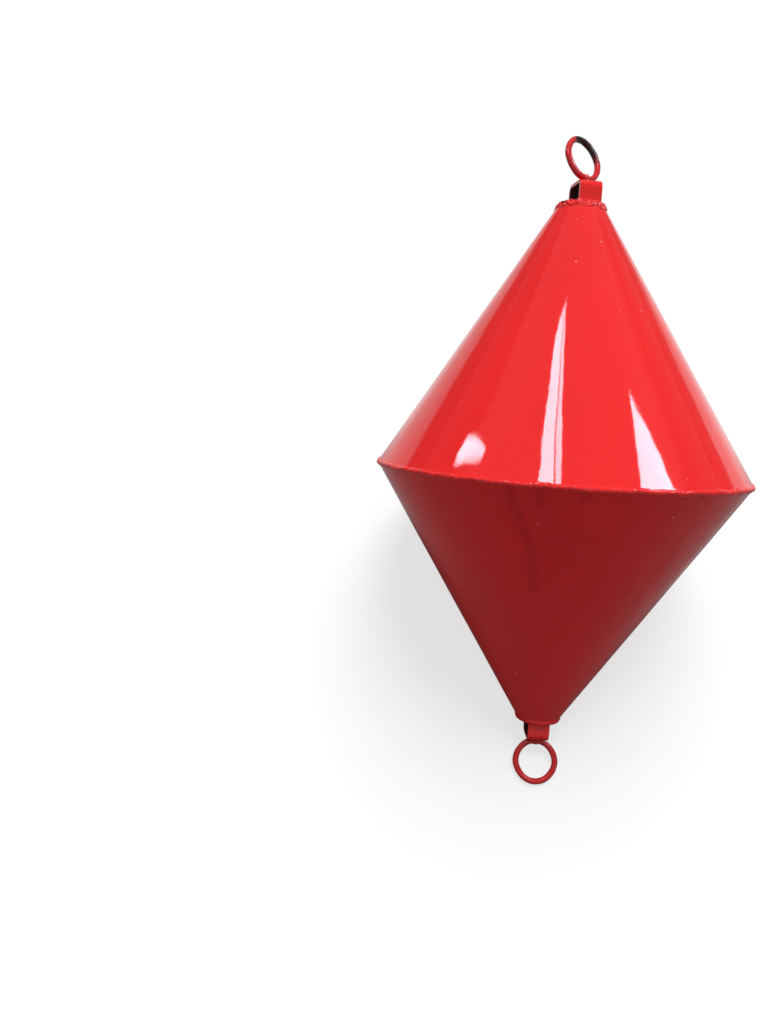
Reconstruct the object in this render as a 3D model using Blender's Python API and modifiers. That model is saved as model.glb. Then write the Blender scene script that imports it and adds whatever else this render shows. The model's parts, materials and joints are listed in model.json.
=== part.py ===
# Steel anchor buoy: two sheet cones welded base to base at the belt. Each tip is closed by a round
# plate that carries a bent flat-bar strap, and a loose swivel eye hangs in the hole of each strap.
# The buoy lies as it comes to rest on a floor, on its belt and the corner of the lower strap,
# with the lower end towards -Y, the upper end up towards +Y, and the origin under its middle.
import math

import bmesh
import bpy
from mathutils import Vector

# Hull, in metres
BELT_DIAMETER = 0.500
CONE_HEIGHT = 0.350
CONE_END_DIAMETER = 0.064
SHEET = 0.002
SEAM_ANGLE = math.radians(128.0)

# End plates
PLATE_INSET = 0.0015
PLATE_THICKNESS = 0.005
PLATE_EDGE = 0.0006

# Straps, bent from flat bar
STRAP_WIDTH = 0.030
STRAP_BAR = 0.005
STRAP_SPAN = 0.046
STRAP_HEIGHT = 0.0276
STRAP_BEND = 0.010
STRAP_EDGE = 0.0005
STRAP_HOLE = 0.0135
UPPER_STRAP_TWIST = math.radians(8.5)
UPPER_STRAP_OFFSET = 0.0045

# Swivel eyes: a domed pin and a ring of round bar
SHANK_DIAMETER = 0.009
SHANK_REACH = 0.0155
HEAD_DIAMETER = 0.020
HEAD_HEIGHT = 0.010
HEAD_SKIRT = 0.003
HEAD_EDGE = 0.0008
RING_RADIUS = 0.0278
RING_BAR = 0.0085
RING_PEAK = math.radians(12.0)
UPPER_EYE_TURN = math.radians(22.5)
UPPER_EYE_LEAN = math.radians(19.5)
UPPER_EYE_SPIN = math.radians(14.0)

# Welds
BELT_WELD_WIDTH = 0.006
BELT_WELD_PROUD = 0.0004
SEAM_WELD_WIDTH = 0.0046
SEAM_WELD_DEPTH = 0.0030
CAP_WELD_ON_PLATE = 0.0060
CAP_WELD_ON_CONE = 0.0025
CAP_WELD_RISE = 0.0042
CAP_WELD_LUMPS = 0.0006
RIM_WELD_ON_PLATE = 0.0050
RIM_WELD_ON_CONE = 0.0030
RIM_WELD_BULGE = 0.0026
FOOT_WELD_LEG = 0.0028
FOOT_WELD_LENGTH = 0.026
RING_WELD_PROUD = 0.0019
RING_WELD_BELOW = 0.0006

# Gap between pieces that touch, and between a pin and its hole
TOUCH = 0.0003

# Facets of the round forms
HULL_SEGMENTS = 128
END_SEGMENTS = 64
PIN_SEGMENTS = 32
RING_POINTS = 48
ARC_POINTS = 8
CUTTER_EXCESS = 0.010

# Sizes that follow
BELT_RADIUS = BELT_DIAMETER / 2
END_RADIUS = CONE_END_DIAMETER / 2
HALF_ANGLE = math.atan2(BELT_RADIUS - END_RADIUS, CONE_HEIGHT)
PLATE_RADIUS = END_RADIUS - PLATE_INSET
PLATE_BOTTOM = CONE_HEIGHT + TOUCH
PLATE_TOP = PLATE_BOTTOM + PLATE_THICKNESS
STRAP_FOOT = PLATE_TOP + TOUCH
STRAP_TOP = STRAP_FOOT + STRAP_HEIGHT
PIVOT = STRAP_TOP - STRAP_BAR / 2
SHANK_RADIUS = SHANK_DIAMETER / 2
HEAD_RADIUS = HEAD_DIAMETER / 2
BAR_RADIUS = RING_BAR / 2
RING_CENTRE = SHANK_REACH + RING_RADIUS / math.cos(RING_PEAK)


def cone_radius(height):
    """Outer radius of a cone at a height above the belt plane."""
    return BELT_RADIUS - height * math.tan(HALF_ANGLE)


def arc_through(start, end, bulge):
    """Centre and radius of the arc from start to end that rises bulge to the left of the chord."""
    start, end = Vector(start), Vector(end)
    chord = end - start
    half = chord.length / 2
    radius = (half * half + bulge * bulge) / (2 * bulge)
    left = Vector((-chord.y, chord.x)).normalized()
    return (start + end) / 2 + left * (bulge - radius), radius


def arc_points(start, end, bulge, count):
    """Points on that arc, with both ends."""
    centre, radius = arc_through(start, end, bulge)
    first = Vector(start) - centre
    last = Vector(end) - centre
    angle = last.angle_signed(first)
    points = []
    for step in range(count + 1):
        turn = angle * step / count
        x = first.x * math.cos(turn) - first.y * math.sin(turn)
        y = first.x * math.sin(turn) + first.y * math.cos(turn)
        points.append((centre.x + x, centre.y + y))
    return points


# The belt weld's outer arc ends on the outer edges of the two cones, a touch gap away
BELT_EDGE_HEIGHT = BELT_WELD_WIDTH / 2
BELT_EDGE = (cone_radius(BELT_EDGE_HEIGHT), BELT_EDGE_HEIGHT)
BELT_WELD_TOP = (
    BELT_EDGE[0] + TOUCH * math.sin(HALF_ANGLE),
    BELT_EDGE[1] - TOUCH * math.cos(HALF_ANGLE),
)
BELT_WELD_BOTTOM = (BELT_WELD_TOP[0], -BELT_WELD_TOP[1])
BELT_WELD_BULGE = BELT_RADIUS + BELT_WELD_PROUD - BELT_WELD_TOP[0]
BELT_ARC_CENTRE, BELT_ARC_RADIUS = arc_through(BELT_WELD_TOP, BELT_WELD_BOTTOM, BELT_WELD_BULGE)


def resting_slope():
    """Slope of the axis when the belt weld and the lower strap's outer bend both lie on the floor."""
    across = BELT_ARC_CENTRE.x - (STRAP_SPAN / 2 - STRAP_BEND)
    along = STRAP_TOP - STRAP_BEND
    rise = STRAP_BEND - BELT_ARC_RADIUS
    return math.acos(rise / math.hypot(across, along)) - math.atan2(along, across)


SLOPE = resting_slope()
BELT_CENTRE_HEIGHT = BELT_ARC_CENTRE.x * math.cos(SLOPE) + BELT_ARC_RADIUS


def head_depth(lean):
    """Distance from the pivot to the flat of the head, where its rim meets the strap's underside."""
    return (STRAP_BAR / 2 + TOUCH + HEAD_RADIUS * math.sin(lean)) / math.cos(lean)


def tip_clearance(lean):
    """Height over the floor of the lower ring's far tip, lying flat, at a lean of its shank."""
    pivot_height = BELT_CENTRE_HEIGHT - PIVOT * math.sin(SLOPE)
    tip = RING_CENTRE - head_depth(lean) + RING_RADIUS
    return pivot_height - tip * math.sin(SLOPE - lean) - BAR_RADIUS


def lean_on_floor():
    """Lean of the lower eye when the tip of its ring lies on the floor, found by halving."""
    low, high = 0.0, SLOPE
    for _ in range(40):
        middle = (low + high) / 2
        if tip_clearance(middle) < TOUCH:
            low = middle
        else:
            high = middle
    return high


LOWER_EYE_LEAN = lean_on_floor()


def clear_scene():
    for old in list(bpy.data.objects):
        bpy.data.objects.remove(old, do_unlink=True)


def new_collection(name):
    collection = bpy.data.collections.new(name)
    bpy.context.scene.collection.children.link(collection)
    return collection


def paint(name, colour, roughness):
    """Gloss paint on steel."""
    material = bpy.data.materials.new(name)
    material.use_nodes = True
    shader = material.node_tree.nodes["Principled BSDF"]
    shader.inputs["Base Color"].default_value = (*colour, 1.0)
    shader.inputs["Roughness"].default_value = roughness
    shader.inputs["Metallic"].default_value = 0.0
    return material


clear_scene()
PARTS = new_collection("anchor_buoy")
CUTTERS = new_collection("cutters")


def add_empty(name, parent=None, location=(0, 0, 0), rotation=(0, 0, 0), mode='XYZ'):
    empty = bpy.data.objects.new(name, None)
    empty.empty_display_size = 0.03
    empty.rotation_mode = mode
    empty.location = location
    empty.rotation_euler = rotation
    empty.parent = parent
    PARTS.objects.link(empty)
    return empty


def add_object(name, mesh, parent, material):
    """A part, or a cutter where no material is given."""
    obj = bpy.data.objects.new(name, mesh)
    obj.parent = parent
    if material is None:
        CUTTERS.objects.link(obj)
        obj.hide_render = True
        obj.display_type = 'WIRE'
    else:
        mesh.materials.clear()
        mesh.materials.append(material)
        PARTS.objects.link(obj)
    return obj


def screwed(name, profile, closed, segments, parent, material):
    """A turned shape: the profile, (radius, height) points, swept round the Z axis."""
    mesh = bpy.data.meshes.new(name)
    shape = bmesh.new()
    points = [shape.verts.new((radius, 0.0, height)) for radius, height in profile]
    for first, second in zip(points, points[1:]):
        shape.edges.new((first, second))
    if closed:
        shape.edges.new((points[-1], points[0]))
    shape.to_mesh(mesh)
    shape.free()
    obj = add_object(name, mesh, parent, material)
    screw = obj.modifiers.new("turn", 'SCREW')
    screw.axis = 'Z'
    screw.angle = 2 * math.pi
    screw.steps = segments
    screw.render_steps = segments
    screw.use_merge_vertices = True
    screw.merge_threshold = 0.00001
    screw.use_smooth_shade = True
    return obj


def cut(obj, cutter):
    boolean = obj.modifiers.new("cut", 'BOOLEAN')
    boolean.operation = 'DIFFERENCE'
    boolean.solver = 'EXACT'
    boolean.object = cutter


def bevel(obj, width, segments=2):
    rounding = obj.modifiers.new("round", 'BEVEL')
    rounding.width = width
    rounding.segments = segments
    rounding.limit_method = 'ANGLE'
    rounding.angle_limit = math.radians(50.0)


def evaluated_mesh(obj):
    """The object's mesh with its modifiers applied and its loose caps welded."""
    graph = bpy.context.evaluated_depsgraph_get()
    mesh = bpy.data.meshes.new_from_object(obj.evaluated_get(graph))
    shape = bmesh.new()
    shape.from_mesh(mesh)
    bmesh.ops.remove_doubles(shape, verts=shape.verts, dist=0.000005)
    shape.to_mesh(mesh)
    shape.free()
    return mesh


def as_mesh_object(source, material):
    """The same piece as a mesh object, in the place of the first one."""
    mesh = evaluated_mesh(source)
    name, parent = source.name, source.parent
    location, rotation = source.location.copy(), source.rotation_euler.copy()
    bpy.data.objects.remove(source, do_unlink=True)
    obj = add_object(name, mesh, parent, material)
    obj.location = location
    obj.rotation_euler = rotation
    return obj


def cylinder(name, radius, depth, segments, parent, material, scale=(1, 1, 1)):
    """A bar of round or oval section along Z, centred on its origin."""
    mesh = bpy.data.meshes.new(name)
    shape = bmesh.new()
    bmesh.ops.create_cone(
        shape, cap_ends=True, segments=segments, radius1=radius, radius2=radius, depth=depth)
    bmesh.ops.scale(shape, vec=scale, verts=shape.verts)
    shape.to_mesh(mesh)
    shape.free()
    return add_object(name, mesh, parent, material)


def cone_shell(side, parent, material):
    """One sheet cone, with square edges at the belt and a flat cut at the tip."""
    inwards = SHEET / math.cos(HALF_ANGLE)
    belt_inner = (
        BELT_EDGE[0] - SHEET * math.cos(HALF_ANGLE),
        BELT_EDGE[1] - SHEET * math.sin(HALF_ANGLE),
    )
    profile = [
        (END_RADIUS, CONE_HEIGHT),
        BELT_EDGE,
        belt_inner,
        (END_RADIUS - inwards, CONE_HEIGHT),
    ]
    shell = screwed(side + "_cone", profile, True, HULL_SEGMENTS, parent, material)
    shell.rotation_euler.z = math.pi / HULL_SEGMENTS
    return shell


def seam(side, turn, end_weld_reach, shell, parent, material):
    """The joint of the rolled sheet: a slot through the wall, filled by a weld."""
    line = add_empty(side + "_seam_line", parent, rotation=(0, 0, turn))
    top_height = CONE_HEIGHT - end_weld_reach - 2 * TOUCH
    middle_height = (BELT_EDGE_HEIGHT + top_height) / 2
    length = (top_height - BELT_EDGE_HEIGHT) / math.cos(HALF_ANGLE)
    mid_wall = SHEET / 2
    place = (
        cone_radius(middle_height) - mid_wall * math.cos(HALF_ANGLE),
        0.0,
        middle_height - mid_wall * math.sin(HALF_ANGLE),
    )
    weld = cylinder(
        side + "_seam_weld", 1.0, length, 12, line, material,
        scale=(SEAM_WELD_DEPTH / 2, SEAM_WELD_WIDTH / 2, 1.0))
    weld.location = place
    weld.rotation_euler.y = -HALF_ANGLE

    mesh = bpy.data.meshes.new(side + "_seam_slot")
    shape = bmesh.new()
    bmesh.ops.create_cube(shape, size=1.0)
    slot_size = (
        SHEET + CUTTER_EXCESS,
        SEAM_WELD_WIDTH + 2 * TOUCH,
        length + 4 * CUTTER_EXCESS,
    )
    bmesh.ops.scale(shape, vec=slot_size, verts=shape.verts)
    shape.to_mesh(mesh)
    shape.free()
    slot = add_object(side + "_seam_slot", mesh, line, None)
    slot.location = place
    slot.rotation_euler.y = -HALF_ANGLE
    cut(shell, slot)


def belt_weld(parent, material):
    """The girth weld: it fills the groove between the two cones and stands proud of the belt."""
    outer = arc_points(BELT_WELD_TOP, BELT_WELD_BOTTOM, BELT_WELD_BULGE, ARC_POINTS)
    root_radius = BELT_WELD_TOP[0] - SHEET * math.cos(HALF_ANGLE)
    root_height = BELT_WELD_TOP[1] - SHEET * math.sin(HALF_ANGLE)
    profile = outer + [(root_radius, -root_height), (root_radius, root_height)]
    weld = screwed("belt_weld", profile, True, HULL_SEGMENTS, parent, material)
    weld.rotation_euler.z = math.pi / HULL_SEGMENTS
    return weld


def end_plate(side, parent, material):
    plate = cylinder(
        side + "_end_plate", PLATE_RADIUS, PLATE_THICKNESS, END_SEGMENTS, parent, material)
    plate.location.z = (PLATE_BOTTOM + PLATE_TOP) / 2
    bevel(plate, PLATE_EDGE)
    return plate


def strap_strip(name, width, bar, foot, parent, material):
    """A flat bar bent into a bridge: legs apart along Y, the bar's width along X."""
    half_span = (STRAP_SPAN - STRAP_BAR) / 2
    top = STRAP_TOP - STRAP_BAR / 2
    bend = STRAP_BEND - STRAP_BAR / 2
    half_path = [(half_span, foot)]
    for step in range(ARC_POINTS + 1):
        angle = math.pi / 2 * step / ARC_POINTS
        half_path.append((
            half_span - bend + bend * math.cos(angle),
            top - bend + bend * math.sin(angle),
        ))
    path = half_path + [(-across, height) for across, height in reversed(half_path)]
    mesh = bpy.data.meshes.new(name)
    shape = bmesh.new()
    line = [shape.verts.new((-width / 2, across, height)) for across, height in path]
    edges = [shape.edges.new(pair) for pair in zip(line, line[1:])]
    swept = bmesh.ops.extrude_edge_only(shape, edges=edges)["geom"]
    moved = [item for item in swept if isinstance(item, bmesh.types.BMVert)]
    bmesh.ops.translate(shape, vec=(width, 0.0, 0.0), verts=moved)
    shape.to_mesh(mesh)
    shape.free()
    strap = add_object(name, mesh, parent, material)
    wall = strap.modifiers.new("bar", 'SOLIDIFY')
    wall.thickness = bar
    wall.offset = 0.0
    wall.use_even_offset = True
    return strap


def strap(side, offset, twist, parent, material):
    """The bridge on one end, with a plain hole for the eye in the middle of its crown."""
    bridge = strap_strip(side + "_strap", STRAP_WIDTH, STRAP_BAR, STRAP_FOOT, parent, material)
    bridge.location.x = offset
    bridge.rotation_euler.z = twist
    bevel(bridge, STRAP_EDGE)
    drill = cylinder(
        side + "_strap_drill", STRAP_HOLE / 2, STRAP_BAR + CUTTER_EXCESS, PIN_SEGMENTS, parent, None)
    drill.location = (offset, 0.0, PIVOT)
    drill.rotation_euler.z = twist
    cut(bridge, drill)
    return bridge


def end_weld_feet(on_plate, on_cone, plate_foot_height):
    """The two feet of a weld over the plate's edge and the cone's tip, a touch gap from both."""
    cone_foot_height = CONE_HEIGHT - on_cone
    beside = TOUCH / math.cos(HALF_ANGLE)
    plate_foot = Vector((PLATE_RADIUS - on_plate, plate_foot_height))
    cone_foot = Vector((cone_radius(cone_foot_height) + beside, cone_foot_height))
    return plate_foot, cone_foot, beside


def cap_weld(side, offset, twist, parent, material):
    """The thick rough weld round the upper plate, run over the feet of the strap as well."""
    first, last, beside = end_weld_feet(CAP_WELD_ON_PLATE, CAP_WELD_ON_CONE, PLATE_TOP + TOUCH)
    over_first = first + Vector((0.0, CAP_WELD_RISE))
    over_last = Vector((last.x + CAP_WELD_RISE / 4, over_first.y))
    outer = []
    for step in range(2 * ARC_POINTS + 1):
        along = step / (2 * ARC_POINTS)
        back = 1.0 - along
        spot = back ** 3 * first + 3 * back ** 2 * along * over_first
        spot += 3 * back * along ** 2 * over_last + along ** 3 * last
        outer.append((spot.x, spot.y))
    inner = [
        (END_RADIUS + beside, CONE_HEIGHT + TOUCH),
        (PLATE_RADIUS + TOUCH, CONE_HEIGHT + TOUCH),
        (PLATE_RADIUS + TOUCH, PLATE_TOP + TOUCH),
    ]
    turned = screwed(side + "_end_weld", outer + inner, True, END_SEGMENTS, parent, material)
    weld = as_mesh_object(turned, material)
    corner = Vector((PLATE_RADIUS, PLATE_TOP))
    for vertex in weld.data.vertices:
        flat = math.hypot(vertex.co.x, vertex.co.y)
        spot = Vector((flat, vertex.co.z))
        for step in range(1, 2 * ARC_POINTS):
            if (spot - Vector(outer[step])).length > TOUCH / 10:
                continue
            along = step / (2 * ARC_POINTS)
            around = math.atan2(vertex.co.y, vertex.co.x)
            lump = math.sin(9 * around + 5 * along) + 0.6 * math.sin(23 * around - 7 * along)
            reach = CAP_WELD_LUMPS * lump * math.sin(math.pi * along) / 1.6
            moved = spot + (spot - corner).normalized() * reach
            vertex.co.x *= moved.x / flat
            vertex.co.y *= moved.x / flat
            vertex.co.z = moved.y
    weld.data.shade_smooth()
    room = strap_strip(
        side + "_strap_room", STRAP_WIDTH + 2 * TOUCH, STRAP_BAR + 2 * TOUCH, PLATE_TOP, parent, None)
    room.location.x = offset
    room.rotation_euler.z = twist
    cut(weld, room)
    return weld


def rim_weld(side, parent, material):
    """The neat weld between the lower cone's tip and the edge of its plate."""
    height = PLATE_BOTTOM + RIM_WELD_ON_PLATE
    first, last, beside = end_weld_feet(-TOUCH, RIM_WELD_ON_CONE, height)
    outer = arc_points(first, last, RIM_WELD_BULGE, ARC_POINTS)
    inner = [
        (END_RADIUS + beside, CONE_HEIGHT + TOUCH),
        (PLATE_RADIUS + TOUCH, CONE_HEIGHT + TOUCH),
    ]
    return screwed(side + "_end_weld", outer + inner, True, END_SEGMENTS, parent, material)


def foot_weld(name, front, parent, material):
    """A fillet along the outer foot of one strap leg."""
    outline = [(0.0, 0.0)] + arc_points(
        (0.0, FOOT_WELD_LEG), (FOOT_WELD_LEG, 0.0), FOOT_WELD_LEG / 5, 4)
    curve = bpy.data.curves.new(name, 'CURVE')
    curve.dimensions = '2D'
    curve.fill_mode = 'BOTH'
    curve.extrude = FOOT_WELD_LENGTH / 2
    spline = curve.splines.new('POLY')
    spline.points.add(len(outline) - 1)
    for point, (across, height) in zip(spline.points, outline):
        point.co = (across, height, 0.0, 1.0)
    spline.use_cyclic_u = True
    flat = add_object(name, curve, parent, material)
    flat.rotation_euler = (math.pi / 2, 0.0, math.pi / 2 if front else -math.pi / 2)
    sign = 1 if front else -1
    flat.location = (0.0, sign * (STRAP_SPAN / 2 + TOUCH), STRAP_FOOT)
    return as_mesh_object(flat, material)


def ring_path(name, bar_radius, parent, material):
    """A bar bent into a ring in the XZ plane, drawn to a slight peak where it meets the shank."""
    curve = bpy.data.curves.new(name, 'CURVE')
    curve.dimensions = '3D'
    curve.bevel_depth = bar_radius
    curve.bevel_resolution = 4
    spline = curve.splines.new('POLY')
    spline.points.add(RING_POINTS - 1)
    for index, point in enumerate(spline.points):
        angle = 2 * math.pi * (index + 0.5) / RING_POINTS
        from_peak = min(angle, 2 * math.pi - angle)
        radius = RING_RADIUS / math.cos(max(0.0, RING_PEAK - from_peak))
        point.co = (radius * math.sin(angle), 0.0, RING_CENTRE - radius * math.cos(angle), 1.0)
    spline.use_cyclic_u = True
    return as_mesh_object(add_object(name, curve, parent, material), material)


def pin_profile():
    """A shank with a domed head; the flat of the head is at height 0, the dome below it."""
    profile = [
        (0.0, SHANK_REACH),
        (SHANK_RADIUS, SHANK_REACH),
        (SHANK_RADIUS, 0.0),
        (HEAD_RADIUS - HEAD_EDGE, 0.0),
        (HEAD_RADIUS, -HEAD_EDGE),
    ]
    dome = HEAD_HEIGHT - HEAD_SKIRT
    for step in range(ARC_POINTS + 1):
        angle = math.pi / 2 * step / ARC_POINTS
        profile.append((
            HEAD_RADIUS * math.cos(angle) if step < ARC_POINTS else 0.0,
            -HEAD_SKIRT - dome * math.sin(angle),
        ))
    return profile


def ring_weld_profile():
    """A round build-up of weld over the joint of ring and shank."""
    width = BAR_RADIUS + RING_WELD_PROUD
    top = SHANK_REACH + width
    bottom = SHANK_REACH - BAR_RADIUS - RING_WELD_BELOW
    profile = []
    for step in range(ARC_POINTS + 1):
        angle = math.pi / 2 * step / ARC_POINTS
        profile.append((
            width * math.sin(angle) if step > 0 else 0.0,
            SHANK_REACH + (top - SHANK_REACH) * math.cos(angle),
        ))
    profile.append((width, SHANK_REACH - BAR_RADIUS / 2))
    profile.append((SHANK_RADIUS + RING_WELD_PROUD / 3, bottom))
    profile.append((0.0, bottom))
    return profile


def swivel_eye(side, offset, turn, lean, spin, parent, materials):
    """One eye, free in its hole: it leans to one side, and spins about its own shank."""
    line = add_empty(side + "_eye_line", parent, (offset, 0, PIVOT), (0, 0, turn))
    eye = add_empty(side + "_eye", line, rotation=(-lean, 0, spin), mode='ZYX')
    slide = add_empty(side + "_eye_slide", eye, (0, 0, -head_depth(lean)))
    ring_path(side + "_ring", BAR_RADIUS, slide, materials["fitting"])
    room = ring_path(side + "_ring_room", BAR_RADIUS + TOUCH, slide, None)
    pin = screwed(
        side + "_swivel_pin", pin_profile(), False, PIN_SEGMENTS, slide, materials["fitting"])
    cut(pin, room)
    weld = screwed(
        side + "_ring_weld", ring_weld_profile(), False, PIN_SEGMENTS, slide, materials["fitting"])
    cut(weld, room)
    shank_room = cylinder(
        side + "_shank_room", SHANK_RADIUS + TOUCH, SHANK_REACH, PIN_SEGMENTS, slide, None)
    shank_room.location.z = SHANK_REACH / 2
    cut(weld, shank_room)
    return eye


def build_buoy():
    materials = {
        "hull": paint("hull_red", (0.80, 0.020, 0.016), 0.12),
        "weld": paint("weld_red", (0.70, 0.016, 0.014), 0.22),
        "fitting": paint("fitting_red", (0.42, 0.012, 0.012), 0.25),
    }
    buoy = add_empty(
        "buoy_axis", location=(0, 0, BELT_CENTRE_HEIGHT), rotation=(SLOPE - math.pi / 2, 0, 0))
    belt_weld(buoy, materials["weld"])

    upper = add_empty("upper_half", buoy)
    lower = add_empty("lower_half", buoy, rotation=(math.pi, 0, 0))
    halves = (
        ("upper", upper, SEAM_ANGLE, CAP_WELD_ON_CONE),
        ("lower", lower, -SEAM_ANGLE, RIM_WELD_ON_CONE),
    )
    for side, half, turn, end_weld_reach in halves:
        shell = cone_shell(side, half, materials["hull"])
        seam(side, turn, end_weld_reach, shell, half, materials["weld"])
        end_plate(side, half, materials["hull"])

    strap("upper", UPPER_STRAP_OFFSET, UPPER_STRAP_TWIST, upper, materials["hull"])
    cap_weld("upper", UPPER_STRAP_OFFSET, UPPER_STRAP_TWIST, upper, materials["weld"])
    swivel_eye(
        "upper", UPPER_STRAP_OFFSET, UPPER_EYE_TURN, UPPER_EYE_LEAN, UPPER_EYE_SPIN,
        upper, materials)

    strap("lower", 0.0, 0.0, lower, materials["hull"])
    rim_weld("lower", lower, materials["weld"])
    foot_weld("lower_foot_weld_under", False, lower, materials["weld"])
    foot_weld("lower_foot_weld_over", True, lower, materials["weld"])
    swivel_eye("lower", 0.0, 0.0, LOWER_EYE_LEAN, 0.0, lower, materials)
    return buoy


def centre_on_floor(buoy):
    """Moves the whole buoy so that the bottom centre of its box is the origin."""
    bpy.context.view_layer.update()
    graph = bpy.context.evaluated_depsgraph_get()
    corners = []
    for obj in PARTS.objects:
        if obj.type == 'EMPTY':
            continue
        mesh = obj.evaluated_get(graph).to_mesh()
        corners.extend(obj.matrix_world @ vertex.co for vertex in mesh.vertices)
        obj.evaluated_get(graph).to_mesh_clear()
    for axis in (0, 1):
        values = [corner[axis] for corner in corners]
        buoy.location[axis] -= (min(values) + max(values)) / 2
    buoy.location.z -= min(corner.z for corner in corners)
    bpy.context.view_layer.update()


centre_on_floor(build_buoy())
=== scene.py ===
import json
import math

import bmesh
import bpy
from mathutils import Matrix, Vector


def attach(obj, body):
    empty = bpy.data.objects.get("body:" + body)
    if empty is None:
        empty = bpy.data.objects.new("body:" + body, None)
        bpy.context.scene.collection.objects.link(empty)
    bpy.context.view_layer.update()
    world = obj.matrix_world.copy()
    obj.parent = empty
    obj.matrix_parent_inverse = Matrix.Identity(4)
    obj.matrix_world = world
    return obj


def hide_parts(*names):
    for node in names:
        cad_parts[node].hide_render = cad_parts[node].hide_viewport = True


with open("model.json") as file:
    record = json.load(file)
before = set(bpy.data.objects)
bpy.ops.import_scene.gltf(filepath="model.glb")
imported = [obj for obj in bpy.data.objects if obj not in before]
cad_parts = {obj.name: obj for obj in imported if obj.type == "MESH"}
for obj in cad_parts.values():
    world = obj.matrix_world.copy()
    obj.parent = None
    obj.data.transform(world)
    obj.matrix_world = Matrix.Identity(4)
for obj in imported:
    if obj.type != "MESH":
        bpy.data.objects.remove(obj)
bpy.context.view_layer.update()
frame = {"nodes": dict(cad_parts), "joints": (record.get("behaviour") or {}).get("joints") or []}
scene = bpy.context.scene

# The two cones. Each is 2 mm sheet folded in a press brake with fourteen soft bends and closed by one
# seam, so flat strips run between the bends. The gloss enamel on them has orange peel, slow waves and,
# on the lower cone, a few raised runs that are painted darker as painted reflections of dark things.
# Each is made upright round the Z axis, belt at height 0, then laid down.
belt_height = 0.21455
slope = math.radians(31.218)
laid = Matrix.Translation((0.0, 0.0, belt_height)) @ Matrix.Rotation(slope - math.pi / 2, 4, 'X')
turned_over = laid @ Matrix.Rotation(math.pi, 4, 'X')

belt_radius = 0.250
tip_radius = 0.032
cone_height = 0.350
belt_gap = 0.0026
sheet = 0.002
half_angle = math.atan2(belt_radius - tip_radius, cone_height)
bends = 14
half_bend = math.pi / bends
bend_share = 0.42
upper_bend_side = math.radians(10.2)
lower_bend_side = math.radians(6.8)

hull_red = (0.84, 0.009, 0.010)
# The darker red of the runs is painted reflection of dark things.
dark_reflection_run_red = (0.70, 0.004, 0.005)
upper_dents = 0.0007
lower_dents = 0.0009


def pick(obj):
    """Makes one object the only selected and active one."""
    bpy.ops.object.select_all(action='DESELECT')
    obj.select_set(True)
    bpy.context.view_layer.objects.active = obj


def apply_modifiers(obj):
    pick(obj)
    for modifier in list(obj.modifiers):
        bpy.ops.object.modifier_apply(modifier=modifier.name)


def lay(obj, place):
    """Puts a finished upright piece in its place, with its object back at the origin."""
    obj.matrix_world = place @ obj.matrix_world
    pick(obj)
    bpy.ops.object.transform_apply(location=True, rotation=True, scale=True)


def merge_and_face_out(obj):
    pick(obj)
    bpy.ops.object.mode_set(mode='EDIT')
    bpy.ops.mesh.select_all(action='SELECT')
    bpy.ops.mesh.remove_doubles(threshold=0.00001)
    bpy.ops.mesh.normals_make_consistent(inside=False)
    bpy.ops.object.mode_set(mode='OBJECT')


def displace(obj, kind, size, strength, middle=0.5):
    """Lumps of a given size on a surface, applied at once."""
    texture = bpy.data.textures.new(obj.name + "_lumps", kind)
    texture.noise_scale = size
    modifier = obj.modifiers.new("lumps", 'DISPLACE')
    modifier.texture = texture
    modifier.texture_coords = 'LOCAL'
    modifier.strength = strength
    modifier.mid_level = middle
    apply_modifiers(obj)


def new_node(tree, kind, **settings):
    node = tree.nodes.new(kind)
    for name, setting in settings.items():
        setattr(node, name, setting)
    return node


def maths(tree, operation, *inputs):
    """A sum on the surface: each input is a number or another node's output."""
    node = new_node(tree, 'ShaderNodeMath', operation=operation)
    for socket, item in zip(node.inputs, inputs):
        if isinstance(item, (int, float)):
            socket.default_value = item
        else:
            tree.links.new(item, socket)
    return node.outputs[0]


def local_coordinates(tree, place):
    """X, Y and Z of a point of the surface in a piece's own upright frame."""
    coordinates = new_node(tree, 'ShaderNodeTexCoord')
    mapping = new_node(tree, 'ShaderNodeMapping', vector_type='TEXTURE')
    mapping.inputs["Location"].default_value = place.to_translation()
    mapping.inputs["Rotation"].default_value = place.to_euler()
    tree.links.new(coordinates.outputs["Object"], mapping.inputs["Vector"])
    parts = new_node(tree, 'ShaderNodeSeparateXYZ')
    tree.links.new(mapping.outputs["Vector"], parts.inputs["Vector"])
    return mapping.outputs["Vector"], parts.outputs


def noise(tree, vector, scale, detail, stretch=(1.0, 1.0, 1.0)):
    mapping = new_node(tree, 'ShaderNodeMapping')
    mapping.inputs["Scale"].default_value = stretch
    tree.links.new(vector, mapping.inputs["Vector"])
    texture = new_node(tree, 'ShaderNodeTexNoise')
    texture.inputs["Scale"].default_value = scale
    texture.inputs["Detail"].default_value = detail
    tree.links.new(mapping.outputs["Vector"], texture.inputs["Vector"])
    return texture.outputs["Fac"]


def smooth_step(tree, item, start, end):
    node = new_node(tree, 'ShaderNodeMapRange', interpolation_type='SMOOTHSTEP')
    node.inputs["From Min"].default_value = start
    node.inputs["From Max"].default_value = end
    tree.links.new(item, node.inputs["Value"])
    return node.outputs["Result"]


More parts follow.
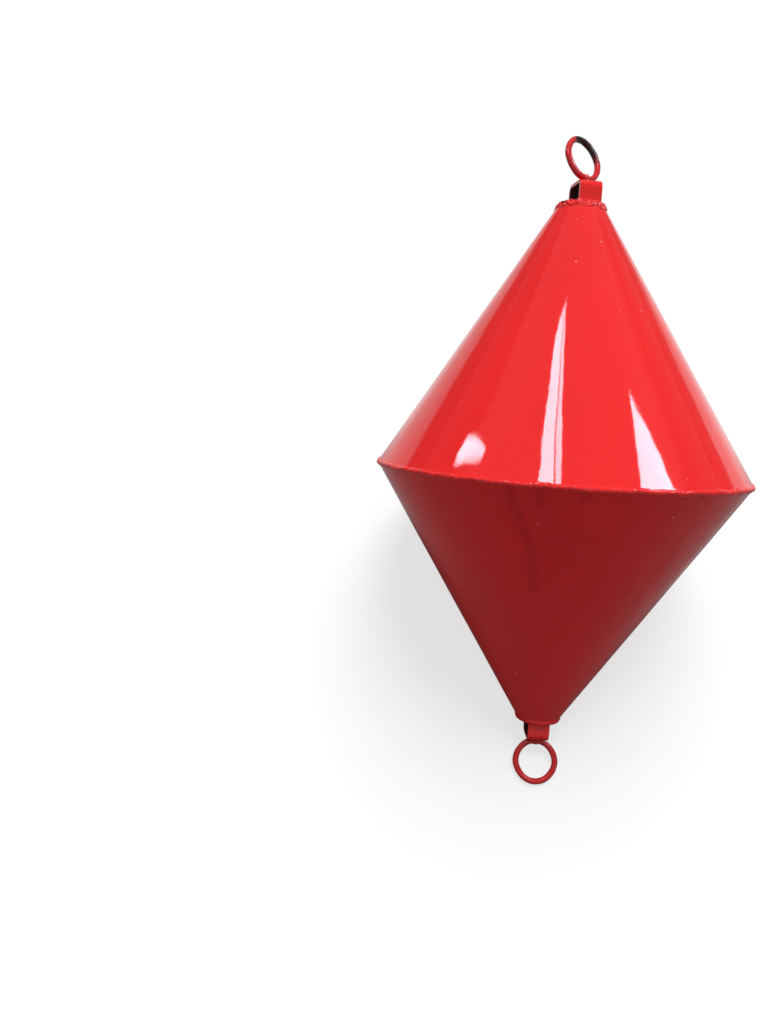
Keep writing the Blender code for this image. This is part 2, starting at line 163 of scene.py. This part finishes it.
def gloss_paint(name, colour, roughness, peel, wave, place, *marks):
    """Red enamel, with the depths of its orange peel and of its slow waves.

    Each mark is a mask's function, its colour, how high it stands and its extra dullness.
    """
    material = bpy.data.materials.new(name)
    material.use_nodes = True
    tree = material.node_tree
    shader = tree.nodes["Principled BSDF"]
    shader.inputs["Specular IOR Level"].default_value = 0.28
    vector, parts = local_coordinates(tree, place)

    shade = new_node(tree, 'ShaderNodeValToRGB')
    shade.color_ramp.elements[0].position = 0.30
    shade.color_ramp.elements[1].position = 0.72
    shade.color_ramp.elements[0].color = (*[part * 0.93 for part in colour], 1.0)
    shade.color_ramp.elements[1].color = (*[part * 1.04 for part in colour], 1.0)
    tree.links.new(noise(tree, vector, 7.0, 3.0, (1.0, 1.0, 0.35)), shade.inputs["Fac"])
    paint = shade.outputs["Color"]

    fine = maths(tree, 'MULTIPLY', noise(tree, vector, 300.0, 2.0), peel)
    slow = maths(tree, 'MULTIPLY', noise(tree, vector, 22.0, 2.0, (1.0, 1.0, 0.25)), wave)
    height = maths(tree, 'ADD', fine, slow)
    polish = new_node(tree, 'ShaderNodeMapRange')
    polish.inputs["From Min"].default_value = 0.40
    polish.inputs["From Max"].default_value = 0.75
    polish.inputs["To Min"].default_value = roughness
    polish.inputs["To Max"].default_value = roughness + 0.02
    tree.links.new(noise(tree, vector, 26.0, 5.0), polish.inputs["Value"])
    dullness = polish.outputs["Result"]
    for mark, mark_colour, rise, extra_dullness in marks:
        mask = mark(tree, vector, parts)
        mix = new_node(tree, 'ShaderNodeMix', data_type='RGBA')
        mix.inputs[7].default_value = (*mark_colour, 1.0)
        tree.links.new(mask, mix.inputs[0])
        tree.links.new(paint, mix.inputs[6])
        paint = mix.outputs[2]
        height = maths(tree, 'ADD', height, maths(tree, 'MULTIPLY', mask, rise))
        dullness = maths(tree, 'ADD', dullness, maths(tree, 'MULTIPLY', mask, extra_dullness))
    tree.links.new(paint, shader.inputs["Base Color"])
    tree.links.new(dullness, shader.inputs["Roughness"])

    bump = new_node(tree, 'ShaderNodeBump')
    bump.inputs["Distance"].default_value = 1.0
    tree.links.new(height, bump.inputs["Height"])
    tree.links.new(bump.outputs["Normal"], shader.inputs["Normal"])
    return material


def specks(tree, vector, parts):
    """A few pinhead spots of dust caught in the paint."""
    return smooth_step(tree, noise(tree, vector, 170.0, 0.0), 0.886, 0.90)


def dark_reflection_run(first_turn, last_turn, first_height, last_height, width):
    """A run of thick paint down the lower cone, painted darker as a painted reflection of dark things;
    turns are measured from its top line.
    """
    def mask(tree, vector, parts):
        down = maths(tree, 'MULTIPLY', parts["Z"], -1.0)
        turn = maths(tree, 'ARCTAN2', parts["X"], maths(tree, 'MULTIPLY', parts["Y"], -1.0))
        along = new_node(tree, 'ShaderNodeMapRange')
        along.inputs["From Min"].default_value = first_height
        along.inputs["From Max"].default_value = last_height
        along.inputs["To Min"].default_value = first_turn
        along.inputs["To Max"].default_value = last_turn
        tree.links.new(down, along.inputs["Value"])
        wander = maths(tree, 'MULTIPLY', noise(tree, vector, 18.0, 0.0), width * 0.8)
        middle = maths(tree, 'ADD', along.outputs["Result"], wander)
        beside = maths(tree, 'ABSOLUTE', maths(tree, 'SUBTRACT', turn, middle))
        across = smooth_step(tree, maths(tree, 'MULTIPLY', beside, -1.0), -width, -width * 0.2)
        above = smooth_step(tree, down, first_height - 0.012, first_height)
        below = smooth_step(tree, maths(tree, 'MULTIPLY', down, -1.0), -last_height, 0.012 - last_height)
        return maths(tree, 'MULTIPLY', across, maths(tree, 'MULTIPLY', above, below))
    return mask


# Raised runs on the lower cone, painted darker as painted reflections of dark things.
run_and_reflection_marks = []
for turns, heights, width in (
        ((-24.0, -17.0), (0.000, 0.100), 2.4),
        ((-14.8, -14.6), (0.000, 0.034), 1.9),
        ((-17.6, -17.0), (0.078, 0.142), 2.9),
        ((-3.5, -3.0), (0.000, 0.020), 2.2)):
    shape = dark_reflection_run(math.radians(turns[0]), math.radians(turns[1]), *heights, math.radians(width))
    run_and_reflection_marks.append((shape, dark_reflection_run_red, 0.0003, 0.0))
dust = (specks, (0.86, 0.25, 0.25), 0.00002, 0.0)
upper_paint = gloss_paint("upper_hull_paint", hull_red, 0.030, 0.000022, 0.0004, laid, dust)
lower_paint = gloss_paint(
    "lower_hull_paint", hull_red, 0.055, 0.000022, 0.0005, laid, dust, *run_and_reflection_marks)


def finish(obj, material, body, slot, *nodes):
    """Gives a piece its paint and its body, and hides the solids that it stands for. Its slot is not
    used.
    """
    obj.data.materials.clear()
    obj.data.materials.append(material)
    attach(obj, body)
    if nodes:
        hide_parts(*nodes)


def fold_radius(turn, bend_side):
    """How far the folded sheet stands out at an angle, where its mean is 1."""
    from_bend = (turn - math.pi / 2 - bend_side + half_bend) % (2 * half_bend) - half_bend
    run = bend_share * 2 * math.sin(half_bend)
    bend_radius = run / math.tan(half_bend)
    centre = 1.0 - bend_radius / math.cos(half_bend)
    bend_end = math.atan2(run * math.cos(half_bend), 1.0 - run * math.sin(half_bend))
    mean = (centre + bend_radius + math.cos(half_bend)) / 2
    if abs(from_bend) < bend_end:
        sideways = centre * math.sin(from_bend)
        return (centre * math.cos(from_bend) + math.sqrt(bend_radius ** 2 - sideways ** 2)) / mean
    return math.cos(half_bend) / math.cos(half_bend - abs(from_bend)) / mean


def folded_cone(name, place, node, bend_side, dents, material):
    flat_middle = math.pi / 2 + bend_side + half_bend
    corner = fold_radius(flat_middle, bend_side) / math.cos(half_bend)
    low_radius = (belt_radius - belt_gap * math.tan(half_angle)) * corner
    bpy.ops.object.select_all(action='DESELECT')
    bpy.ops.mesh.primitive_cone_add(
        vertices=bends, radius1=low_radius, radius2=tip_radius * corner,
        depth=cone_height - belt_gap, end_fill_type='NOTHING',
        location=(0.0, 0.0, (cone_height + belt_gap) / 2))
    cone = bpy.context.active_object
    cone.name = name
    cone.rotation_euler.z = bend_side
    bpy.ops.object.transform_apply(location=True, rotation=True, scale=True)

    def select_sloping_edges():
        bpy.ops.mesh.select_mode(type='EDGE')
        bpy.ops.mesh.select_all(action='DESELECT')
        shape = bmesh.from_edit_mesh(cone.data)
        for edge in shape.edges:
            first, second = edge.verts
            edge.select_set(abs(first.co.z - second.co.z) > cone_height / 2)
        bmesh.update_edit_mesh(cone.data)

    bpy.ops.object.mode_set(mode='EDIT')
    select_sloping_edges()
    bpy.ops.mesh.bevel(
        offset_type='PERCENT', offset_pct=100.0 * bend_share, segments=18, profile=0.5,
        affect='EDGES')
    select_sloping_edges()
    bpy.ops.mesh.subdivide(number_cuts=47)
    bpy.ops.object.mode_set(mode='OBJECT')
    merge_and_face_out(cone)
    displace(cone, 'CLOUDS', 0.13, dents)
    wall = cone.modifiers.new("wall", 'SOLIDIFY')
    wall.thickness = sheet
    wall.offset = -1.0
    apply_modifiers(cone)
    bpy.ops.object.shade_smooth_by_angle(angle=math.radians(30.0))
    lay(cone, place)
    finish(cone, material, "hull", "hull_red", node)


folded_cone("upper_shell", laid, "upper_cone", upper_bend_side, upper_dents, upper_paint)
folded_cone("lower_shell", turned_over, "lower_cone", lower_bend_side, lower_dents, lower_paint)

# The belt weld, the two seam welds and the foot welds of the lower strap. Each is one run of weld with
# close fine ripples, laid where two edges meet and painted over together with the sheet.
weld_red = (0.82, 0.010, 0.012)
weld_paint = gloss_paint("weld_paint", weld_red, 0.08, 0.00045, 0.0003, laid)
belt_bead_radius = 0.0038
belt_bead_centre = 0.2468
belt_steps = 1500
belt_lumps = 0.0021
seam_turn = math.radians(128.0)
seam_bead_radius = 0.0026
seam_start = 0.004
seam_margins = 0.0085
seam_steps = 280
seam_lumps = 0.0013


def weld_bead(name, points, closed, radius, lumps, place, node):
    """A run of weld along points, as round wire with two sizes of ripples."""
    curve = bpy.data.curves.new(name, 'CURVE')
    curve.dimensions = '3D'
    curve.bevel_depth = radius
    curve.bevel_resolution = 4
    curve.use_fill_caps = True
    spline = curve.splines.new('POLY')
    spline.points.add(len(points) - 1)
    for spot, point in zip(spline.points, points):
        spot.co = (*point, 1.0)
    spline.use_cyclic_u = closed
    bead = bpy.data.objects.new(name, curve)
    scene.collection.objects.link(bead)
    pick(bead)
    bpy.ops.object.convert(target='MESH')
    merge_and_face_out(bead)
    displace(bead, 'CLOUDS', 0.0030, lumps)
    displace(bead, 'CLOUDS', 0.0090, lumps * 0.8)
    bpy.ops.object.shade_smooth()
    lay(bead, place)
    finish(bead, weld_paint, "hull", "weld_red", node)


belt_points = []
for step in range(belt_steps):
    turn = 2 * math.pi * step / belt_steps
    fold = (fold_radius(turn, upper_bend_side) + fold_radius(-turn, lower_bend_side)) / 2
    radius = belt_bead_centre * fold
    wander = 0.0003 * math.sin(17 * turn) + 0.0003 * math.sin(41 * turn + 1.0)
    belt_points.append((radius * math.cos(turn), radius * math.sin(turn), wander))
weld_bead("belt_bead", belt_points, True, belt_bead_radius, belt_lumps, laid, "belt_weld")

for side, place, turn, bend_side in (
        ("upper", laid, seam_turn, upper_bend_side),
        ("lower", turned_over, -seam_turn, lower_bend_side)):
    seam_points = []
    for step in range(seam_steps):
        height = seam_start + (cone_height - seam_margins) * step / (seam_steps - 1)
        radius = (belt_radius - height * math.tan(half_angle)) * fold_radius(turn, bend_side)
        wander = 0.0006 * math.sin(height * 90.0) + 0.0004 * math.sin(height * 310.0)
        across = turn + wander / radius
        radius -= seam_bead_radius * 0.45
        seam_points.append((radius * math.cos(across), radius * math.sin(across), height))
    weld_bead(
        side + "_seam_bead", seam_points, False, seam_bead_radius, seam_lumps, place,
        side + "_seam_weld")

touch = 0.0003
plate_thickness = 0.005
strap_span = 0.046
strap_foot = cone_height + plate_thickness + 2 * touch
foot_bead_length = 0.026
foot_bead_radius = 0.0025
foot_bead_out = 0.0006
foot_steps = 40
foot_lumps = 0.0012
for name, leg in (("lower_foot_weld_under", -1.0), ("lower_foot_weld_over", 1.0)):
    foot_points = []
    for step in range(foot_steps + 1):
        along = foot_bead_length * (step / foot_steps - 0.5)
        beside = leg * (strap_span / 2 + foot_bead_out)
        foot_points.append((along, beside, strap_foot + foot_bead_out))
    weld_bead(name + "_bead", foot_points, False, foot_bead_radius, foot_lumps, turned_over, name)

# The end welds. A thick rough run goes round each end plate: the upper one is heaped up in small drops
# over the plate's edge and the feet of the strap, the lower one is drawn out smooth like a lip.
upper_end_lumps = (('VORONOI', 0.0046, -0.0036, 0.26), ('CLOUDS', 0.0022, 0.0010, 0.5))
lower_end_lumps = (('CLOUDS', 0.012, 0.0012, 0.5), ('CLOUDS', 0.004, 0.0004, 0.5))
round_section = 0.01


def end_bead(name, place, node, radius, height, across, up, tilt, lumps):
    """A ring of weld of oval section: its radius and height, half its width each way, and its tilt."""
    bpy.ops.object.select_all(action='DESELECT')
    bpy.ops.mesh.primitive_torus_add(
        major_radius=radius, minor_radius=round_section, major_segments=400, minor_segments=56,
        location=(0.0, 0.0, 0.0))
    bead = bpy.context.active_object
    bead.name = name
    for vertex in bead.data.vertices:
        flat = math.hypot(vertex.co.x, vertex.co.y)
        out = (flat - radius) * across / round_section
        rise = vertex.co.z * up / round_section
        scale = (radius + out * math.cos(tilt) - rise * math.sin(tilt)) / flat
        vertex.co.x *= scale
        vertex.co.y *= scale
        vertex.co.z = height + out * math.sin(tilt) + rise * math.cos(tilt)
    for kind, size, strength, middle in lumps:
        displace(bead, kind, size, strength, middle)
    bpy.ops.object.shade_smooth()
    lay(bead, place)
    finish(bead, weld_paint, "hull", "weld_red", node)


end_bead(
    "upper_end_bead", laid, "upper_end_weld", radius=0.0287, height=0.3506, across=0.0078,
    up=0.0045, tilt=math.radians(-46.0), lumps=upper_end_lumps)
end_bead(
    "lower_end_bead", turned_over, "lower_end_weld", radius=0.0297, height=0.3515, across=0.0027,
    up=0.0044, tilt=0.0, lumps=lower_end_lumps)

# The straps: 30 x 5 mm flat bar bent into a bridge, with a drilled hole for the eye in its crown. They
# are welded to the end plates before painting; their inside is painted nearly black as painted shade.
strap_width = 0.030
strap_bar = 0.005
strap_height = 0.0276
strap_bend = 0.010
strap_hole = 0.0135
strap_edge = 0.0007
mark_margin = 0.0004
strap_top = strap_foot + strap_height
upper_strap_offset = 0.0045
upper_strap_twist = math.radians(8.5)
# Painted shade for the inside of the bridge, nearly black.
painted_inside_shade = (0.045, 0.003, 0.004)


def inside_of_strap(tree, vector, parts):
    """1 on the faces that look into the bridge, which get painted shade."""
    beside = maths(tree, 'ABSOLUTE', parts["Y"])
    between = maths(tree, 'LESS_THAN', beside, strap_span / 2 - strap_bar + mark_margin)
    below = maths(tree, 'LESS_THAN', parts["Z"], strap_top - strap_bar + mark_margin)
    return maths(tree, 'MULTIPLY', between, below)


def bent_strap(side, place, offset, twist):
    own_place = place @ Matrix.Translation((offset, 0.0, 0.0)) @ Matrix.Rotation(twist, 4, 'Z')
    inner_bend = strap_bend - strap_bar / 2
    leg = (strap_span - strap_bar) / 2
    bend_height = strap_top - strap_bend
    bpy.ops.object.select_all(action='DESELECT')
    bpy.ops.mesh.primitive_grid_add(
        x_subdivisions=8, y_subdivisions=1, size=1.0, location=(0.0, 0.0, 0.0))
    bar = bpy.context.active_object
    bar.name = side + "_bent_strap"
    for vertex in bar.data.vertices:
        on_top = vertex.co.y > 0
        vertex.co = (vertex.co.x * strap_width, leg, bend_height if on_top else strap_foot)
    bpy.ops.object.mode_set(mode='EDIT')

    def select_last_edge(wanted):
        bpy.ops.mesh.select_mode(type='VERT')
        bpy.ops.mesh.select_all(action='DESELECT')
        shape = bmesh.from_edit_mesh(bar.data)
        for vertex in shape.verts:
            vertex.select_set((vertex.co - Vector((vertex.co.x, *wanted))).length < 0.00001)
        shape.select_flush(True)
        bmesh.update_edit_mesh(bar.data)

    select_last_edge((leg, bend_height))
    bpy.ops.mesh.spin(
        steps=14, angle=-math.pi / 2, center=(0.0, leg - inner_bend, bend_height),
        axis=(1.0, 0.0, 0.0))
    select_last_edge((leg - inner_bend, bend_height + inner_bend))
    bpy.ops.mesh.extrude_region_move(
        TRANSFORM_OT_translate={"value": (0.0, -2 * (leg - inner_bend), 0.0)})
    select_last_edge((inner_bend - leg, bend_height + inner_bend))
    bpy.ops.mesh.spin(
        steps=14, angle=-math.pi / 2, center=(0.0, inner_bend - leg, bend_height),
        axis=(1.0, 0.0, 0.0))
    select_last_edge((-leg, bend_height))
    bpy.ops.mesh.extrude_region_move(
        TRANSFORM_OT_translate={"value": (0.0, 0.0, strap_foot - bend_height)})
    bpy.ops.object.mode_set(mode='OBJECT')
    merge_and_face_out(bar)
    thick = bar.modifiers.new("bar", 'SOLIDIFY')
    thick.thickness = strap_bar
    thick.offset = 0.0
    thick.use_even_offset = True
    apply_modifiers(bar)

    bpy.ops.object.select_all(action='DESELECT')
    bpy.ops.mesh.primitive_cylinder_add(
        vertices=64, radius=strap_hole / 2, depth=0.02,
        location=(0.0, 0.0, strap_top - strap_bar / 2))
    drill = bpy.context.active_object
    hole = bar.modifiers.new("hole", 'BOOLEAN')
    hole.object = drill
    hole.solver = 'EXACT'
    edges = bar.modifiers.new("edges", 'BEVEL')
    edges.width = strap_edge
    edges.segments = 3
    edges.limit_method = 'ANGLE'
    edges.angle_limit = math.radians(50.0)
    apply_modifiers(bar)
    bpy.data.objects.remove(drill, do_unlink=True)
    pick(bar)
    bpy.ops.object.shade_smooth_by_angle(angle=math.radians(30.0))
    lay(bar, own_place)
    # The faces inside the bridge get painted shade.
    paint = gloss_paint(
        side + "_strap_paint", hull_red, 0.12, 0.00005, 0.0003, own_place,
        (inside_of_strap, painted_inside_shade, 0.0, 0.5))
    finish(bar, paint, "hull", "hull_red", side + "_strap")
    return own_place


upper_strap_place = bent_strap("upper", laid, upper_strap_offset, upper_strap_twist)
lower_strap_place = bent_strap("lower", turned_over, 0.0, 0.0)

# The end plates: 5 mm discs that close the cut tips. Only their rims and the floor of each strap show,
# with the same painted shade as the inside of the strap.
for side, place in (("upper", upper_strap_place), ("lower", lower_strap_place)):
    plate_paint = gloss_paint(
        side + "_plate_paint", hull_red, 0.14, 0.00005, 0.0003, place,
        (inside_of_strap, painted_inside_shade, 0.0, 0.5))
    for material_slot in frame["nodes"][side + "_end_plate"].material_slots:
        material_slot.material = plate_paint

# The swivel eyes: a ring of 8.5 mm painted round bar, bent by hand and welded to a short pin whose
# domed head sits loose inside the strap. The far part of the upper ring is painted nearly black.
shank_radius = 0.0045
shank_reach = 0.0155
head_radius = 0.010
head_height = 0.010
head_skirt = 0.003
head_edge = 0.0010
head_edge_step = 0.0003
blob_radius = 0.0059
ring_radius = 0.0278
ring_bar_radius = 0.00425
ring_peak = math.radians(12.0)
ring_centre = shank_reach + ring_radius / math.cos(ring_peak)
fitting_red = (0.60, 0.010, 0.013)
# Nearly black, for the far part of the upper ring.
far_ring_dark = (0.026, 0.002, 0.003)
# The direction across each ring, and how far the flat of each head lies behind its joint
eyes = {
    "upper": (Vector((0.8069, 0.2316, -0.5434)), 0.0065),
    "lower": (Vector((1.0, 0.0, 0.0)), 0.0066),
}


def far_ring_dark_mask(tree, vector, parts):
    """1 along the far part of the upper ring, fading into the paint."""
    turn = maths(tree, 'ARCTAN2', parts["X"], maths(tree, 'SUBTRACT', parts["Z"], ring_centre))
    ragged = maths(tree, 'MULTIPLY', noise(tree, vector, 260.0, 2.0), 0.5)
    spot = maths(tree, 'ADD', turn, ragged)
    start = smooth_step(tree, spot, -0.34, -0.20)
    end = smooth_step(tree, maths(tree, 'MULTIPLY', spot, -1.0), -2.15, -1.25)
    return maths(tree, 'MULTIPLY', start, end)


def bent_ring(side, place, material):
    bpy.ops.object.select_all(action='DESELECT')
    bpy.ops.mesh.primitive_torus_add(
        major_radius=ring_radius, minor_radius=ring_bar_radius, major_segments=192,
        minor_segments=36, location=(0.0, 0.0, 0.0), rotation=(math.pi / 2, 0.0, 0.0))
    ring = bpy.context.active_object
    ring.name = side + "_bent_ring"
    bpy.ops.object.transform_apply(location=True, rotation=True, scale=True)
    for vertex in ring.data.vertices:
        from_peak = abs(math.atan2(vertex.co.x, -vertex.co.z))
        out = ring_radius / math.cos(max(0.0, ring_peak - from_peak)) - ring_radius
        out += 0.0003 * math.sin(2 * from_peak + 0.6) + 0.0002 * math.sin(5 * from_peak)
        flat = math.hypot(vertex.co.x, vertex.co.z)
        vertex.co.x *= 1.0 + out / flat
        vertex.co.z = vertex.co.z * (1.0 + out / flat) + ring_centre
    displace(ring, 'CLOUDS', 0.009, 0.0007)
    bpy.ops.object.shade_smooth()
    lay(ring, place)
    finish(ring, material, side + "_eye", "fitting_red", side + "_ring")


def turned_pin(side, place, material):
    """A domed head, cut from a ball, with its skirt, its flat top and the shank drawn out of it."""
    bpy.ops.object.select_all(action='DESELECT')
    bpy.ops.mesh.primitive_uv_sphere_add(
        segments=56, ring_count=32, radius=head_radius, location=(0.0, 0.0, 0.0))
    pin = bpy.context.active_object
    pin.name = side + "_turned_pin"
    bpy.ops.object.mode_set(mode='EDIT')
    bpy.ops.mesh.select_all(action='SELECT')
    bpy.ops.mesh.bisect(plane_co=(0.0, 0.0, 0.0), plane_no=(0.0, 0.0, 1.0), clear_outer=True)
    bpy.ops.mesh.select_all(action='SELECT')
    dome = (head_height - head_skirt) / head_radius
    bpy.ops.transform.resize(value=(1.0, 1.0, dome), center_override=(0.0, 0.0, 0.0))
    bpy.ops.transform.translate(value=(0.0, 0.0, -head_skirt))

    def select_top_edge():
        bpy.ops.mesh.select_mode(type='VERT')
        bpy.ops.mesh.select_all(action='DESELECT')
        shape = bmesh.from_edit_mesh(pin.data)
        top = max(vertex.co.z for vertex in shape.verts)
        inmost = min(
            vertex.co.xy.length for vertex in shape.verts if vertex.co.z > top - 0.00001)
        for vertex in shape.verts:
            at_top = vertex.co.z > top - 0.00001
            vertex.select_set(at_top and vertex.co.xy.length < inmost + 0.00001)
        shape.select_flush(True)
        bmesh.update_edit_mesh(pin.data)

    for rise, spread in (
            (head_skirt - head_edge, 1.0),
            (head_edge - head_edge_step, (head_radius - head_edge_step) / head_radius),
            (head_edge_step, (head_radius - head_edge) / (head_radius - head_edge_step)),
            (0.0, shank_radius / (head_radius - head_edge)),
            (shank_reach, 1.0)):
        select_top_edge()
        bpy.ops.mesh.extrude_region_move(TRANSFORM_OT_translate={"value": (0.0, 0.0, rise)})
        bpy.ops.transform.resize(value=(spread, spread, 1.0), center_override=(0.0, 0.0, 0.0))
    bpy.ops.mesh.edge_face_add()
    bpy.ops.object.mode_set(mode='OBJECT')
    merge_and_face_out(pin)
    bpy.ops.object.shade_smooth_by_angle(angle=math.radians(35.0))
    lay(pin, place)
    finish(pin, material, side + "_eye", "fitting_red", side + "_swivel_pin")


def ring_blob(side, place, material):
    """The build-up of weld that joins ring and shank."""
    bpy.ops.object.select_all(action='DESELECT')
    bpy.ops.mesh.primitive_uv_sphere_add(
        segments=72, ring_count=48, radius=blob_radius, location=(0.0, 0.0, shank_reach + 0.0002))
    blob = bpy.context.active_object
    blob.name = side + "_ring_blob"
    bpy.ops.object.transform_apply(location=True, rotation=True, scale=True)
    displace(blob, 'VORONOI', 0.0036, -0.0022, 0.42)
    displace(blob, 'CLOUDS', 0.0018, 0.0006)
    bpy.ops.object.shade_smooth()
    lay(blob, place)
    finish(blob, material, side + "_eye", "fitting_red", side + "_ring_weld")


for joint in frame["joints"]:
    side = joint["name"].split("_")[0]
    across, head_drop = eyes[side]
    shank_line = Vector(joint["axis"])
    face = shank_line.cross(across).normalized()
    eye_place = Matrix.Translation(Vector(joint["pos_m"]) - head_drop * shank_line) @ Matrix(
        (face.cross(shank_line), face, shank_line)).transposed().to_4x4()
    ring_marks = [(far_ring_dark_mask, far_ring_dark, -0.00015, 0.12)] if side == "upper" else []
    eye_paint = gloss_paint(
        side + "_eye_paint", fitting_red, 0.09, 0.00007, 0.0003, eye_place, *ring_marks)
    plain_eye_paint = gloss_paint(
        side + "_pin_paint", fitting_red, 0.16, 0.00007, 0.0003, eye_place)
    bent_ring(side, eye_place, eye_paint)
    turned_pin(side, eye_place, plain_eye_paint)
    ring_blob(side, eye_place, plain_eye_paint)

# Floor, lights and camera. The floor is plain and pale, the light is soft and comes from above and
# behind, and flat lamps that only the gloss mirrors draw the bright streaks on the paint.
floor_size = 60.0
floor_height = -0.0004
bpy.ops.object.select_all(action='DESELECT')
bpy.ops.mesh.primitive_plane_add(size=floor_size, location=(0.0, 0.0, floor_height))
floor = bpy.context.active_object
floor.name = "floor"
floor_material = bpy.data.materials.new("pale_floor")
floor_material.use_nodes = True
floor_tree = floor_material.node_tree
floor_shader = floor_tree.nodes["Principled BSDF"]
floor_shader.inputs["Base Color"].default_value = (0.28, 0.28, 0.28, 1.0)
floor_shader.inputs["Roughness"].default_value = 0.9
floor_shader.inputs["Specular IOR Level"].default_value = 0.1
floor_shader.inputs["Emission Color"].default_value = (1.0, 1.0, 1.0, 1.0)
floor.data.materials.append(floor_material)
floor_glow = 0.70
floor_mirror_full = 1.2
floor_mirror_end = 1.7
floor_behind_start = 0.05
floor_behind_full = 0.30
ambient = 0.27
low_sky_share = 0.35
sky_rise_start = 0.34
sky_rise_end = 0.46


def seen_directly(tree, mirrored_share):
    """1 for a ray of the camera or a glass, a share of it for a mirror, 0 for light on a surface."""
    paths = new_node(tree, 'ShaderNodeLightPath')
    mirrored = maths(tree, 'MULTIPLY', paths.outputs["Is Glossy Ray"], mirrored_share)
    through = maths(tree, 'MAXIMUM', mirrored, paths.outputs["Is Transmission Ray"])
    return maths(tree, 'MAXIMUM', paths.outputs["Is Camera Ray"], through)


floor_vector, floor_parts = local_coordinates(floor_tree, Matrix.Identity(4))
floor_reach = new_node(floor_tree, 'ShaderNodeVectorMath', operation='LENGTH')
floor_tree.links.new(floor_vector, floor_reach.inputs[0])
near_floor = smooth_step(
    floor_tree, maths(floor_tree, 'MULTIPLY', floor_reach.outputs["Value"], -1.0),
    -floor_mirror_end, -floor_mirror_full)
floor_behind = smooth_step(
    floor_tree, floor_parts["Y"], floor_behind_start, floor_behind_full)
floor_tree.links.new(
    maths(
        floor_tree, 'MULTIPLY',
        seen_directly(floor_tree, maths(floor_tree, 'MULTIPLY', near_floor, floor_behind)),
        floor_glow),
    floor_shader.inputs["Emission Strength"])

world = bpy.data.worlds.new("studio")
scene.world = world
world.use_nodes = True
world_tree = world.node_tree
backdrop = world_tree.nodes["Background"]
backdrop.inputs["Color"].default_value = (1.0, 1.0, 1.0, 1.0)
sky = new_node(world_tree, 'ShaderNodeTexCoord')
sky_parts = new_node(world_tree, 'ShaderNodeSeparateXYZ')
world_tree.links.new(sky.outputs["Generated"], sky_parts.inputs["Vector"])
high_sky = smooth_step(world_tree, sky_parts.outputs["Z"], sky_rise_start, sky_rise_end)
sky_share = maths(
    world_tree, 'ADD', low_sky_share,
    maths(world_tree, 'MULTIPLY', high_sky, 1.0 - low_sky_share))
world_tree.links.new(
    maths(
        world_tree, 'ADD', ambient,
        maths(world_tree, 'MULTIPLY', seen_directly(world_tree, sky_share), 1.0 - ambient)),
    backdrop.inputs["Strength"])

key_direction = Vector((0.08, 0.53, 0.845))
key_data = bpy.data.lights.new("key", 'SUN')
key_data.energy = 3.16
key_data.angle = math.radians(30.0)
key = bpy.data.objects.new("key", key_data)
scene.collection.objects.link(key)
key.rotation_euler = key_direction.to_track_quat('Z', 'Y').to_euler()
key.visible_glossy = False


upper_middle = Vector((0.0, 0.0, 0.42))
lamp_distance = 2.5
lamp_colour = (1.0, 0.85, 0.98)
lamp_strength = 34.0
side_lamp_strength = 29.0


def lamp(name, facing, corners, strength):
    """A flat lamp that only the gloss mirrors. Its four corners are across and up, seen from the buoy."""
    facing = Vector(facing).normalized()
    across = Vector((facing.y, -facing.x, 0.0)).normalized()
    up = across.cross(facing)
    bpy.ops.object.select_all(action='DESELECT')
    bpy.ops.mesh.primitive_plane_add(size=1.0, location=(0.0, 0.0, 0.0))
    panel = bpy.context.active_object
    panel.name = name
    for vertex, (right, above) in zip(panel.data.vertices, corners):
        vertex.co = upper_middle + lamp_distance * facing + right * across + above * up
    material = bpy.data.materials.new(name)
    material.use_nodes = True
    glow = material.node_tree.nodes["Principled BSDF"]
    glow.inputs["Base Color"].default_value = (0.0, 0.0, 0.0, 1.0)
    glow.inputs["Emission Color"].default_value = (*lamp_colour, 1.0)
    glow.inputs["Emission Strength"].default_value = strength
    panel.data.materials.append(material)
    panel.visible_diffuse = False
    panel.visible_camera = False
    panel.visible_shadow = False


lamp("left_patch_lamp", (-0.661, 0.634, 0.400), (
    (-0.285, -0.330), (-0.190, -0.290), (-0.155, 0.400), (-0.120, 0.380)), lamp_strength)
lamp("middle_lamp", (-0.170, 0.600, 0.780), (
    (-0.130, -0.190), (0.045, -0.235), (-0.520, 0.750), (-0.150, 0.750)), lamp_strength)
lamp("middle_side_lamp", (-0.170, 0.600, 0.780), (
    (0.060, -0.235), (0.095, -0.260), (-0.105, 0.750), (0.095, 0.750)), side_lamp_strength)
lamp("right_lamp", (0.600, 0.550, 0.580), (
    (-0.080, 0.145), (0.540, -0.420), (0.200, 0.530), (0.850, -0.050)), lamp_strength)

camera_data = bpy.data.cameras.new("camera")
camera = bpy.data.objects.new("camera", camera_data)
scene.collection.objects.link(camera)
camera.location = (-0.20617, -0.53394, 1.2554)
camera.rotation_euler = [math.radians(turn) for turn in (23.711, -0.0434, 3.8559)]
camera_data.sensor_fit = 'VERTICAL'
camera_data.sensor_height = 36.0
camera_data.lens = 29.531
camera_data.clip_start = 0.01
scene.camera = camera
scene.view_settings.view_transform = 'Standard'
